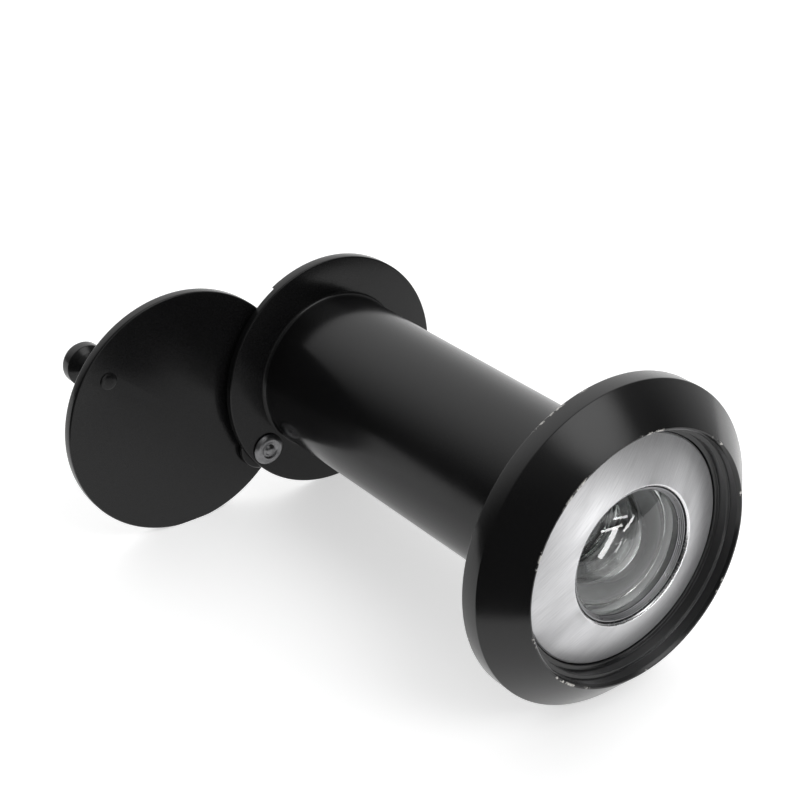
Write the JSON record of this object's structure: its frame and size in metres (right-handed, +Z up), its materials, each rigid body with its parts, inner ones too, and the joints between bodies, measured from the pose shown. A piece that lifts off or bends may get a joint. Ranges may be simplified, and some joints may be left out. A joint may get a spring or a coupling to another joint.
{
  "type": "door viewer",
  "caption": "Screw-together door viewer with a wide outer flange, bright lens surround, plain barrel, thin inner flange and a swinging round cover with a small knob.",
  "frame": {"origin": "middle of the outer flange's seating face, on the viewer's axis", "axes": "+Y along the barrel from the outdoor lens to the indoor eyepiece; the lens looks along -Y; +Z up for the viewer lying on a table, with the opened cover out to -X"},
  "size_m": [0.0377, 0.045, 0.026],
  "materials": {
    "black_paint": "semi-gloss black",
    "bright_steel": "polished and finely brushed",
    "black_anodised": "black anodised",
    "lens_glass": "polished",
    "rubber": "matt",
    "blackened_brass": "blackened",
    "spring_steel": "plain",
    "satin_aluminium": "satin"
  },
  "bodies": {
    "outer_half": {"outer_flange": "black_paint", "trim_dish": "bright_steel", "objective_ring": "black_anodised", "objective_lens": "lens_glass", "spacer_ring_1": "satin_aluminium", "middle_lens": "lens_glass", "spacer_ring_2": "satin_aluminium", "rear_lens": "lens_glass", "lens_gasket": "rubber", "threaded_tube": "blackened_brass", "field_stop": "black_anodised"},
    "eyepiece": {"eyepiece_lens": "lens_glass"},
    "inner_half": {"inner_sleeve": "black_paint", "inner_flange": "black_paint", "eyepiece_ring": "black_anodised", "pivot_rivet": "bright_steel", "pivot_washer": "black_paint", "spring_washer": "spring_steel"},
    "cover": {"cover_disc": "black_paint", "cover_knob": "black_paint"}
  },
  "joints": [
    {"name": "length_slide", "type": "slide", "parent": "outer_half", "child": "eyepiece", "axis": [0, 1, 0], "range_m": [0, 0.02]},
    {"name": "thread_turn", "type": "hinge", "parent": "eyepiece", "child": "inner_half", "pos_m": [0, 0.0344, 0], "axis": [0, 1, 0], "range_deg": [0, 7200]},
    {"name": "cover_swing", "type": "hinge", "parent": "inner_half", "child": "cover", "pos_m": [-0.00706, 0.0362, -0.00528], "axis": [0, -1, 0], "range_deg": [-106.2, 0]}
  ],
  "couplings": [
    {"joint": "length_slide", "follows": "thread_turn", "m_per_rad": 0.00015915}
  ]
}
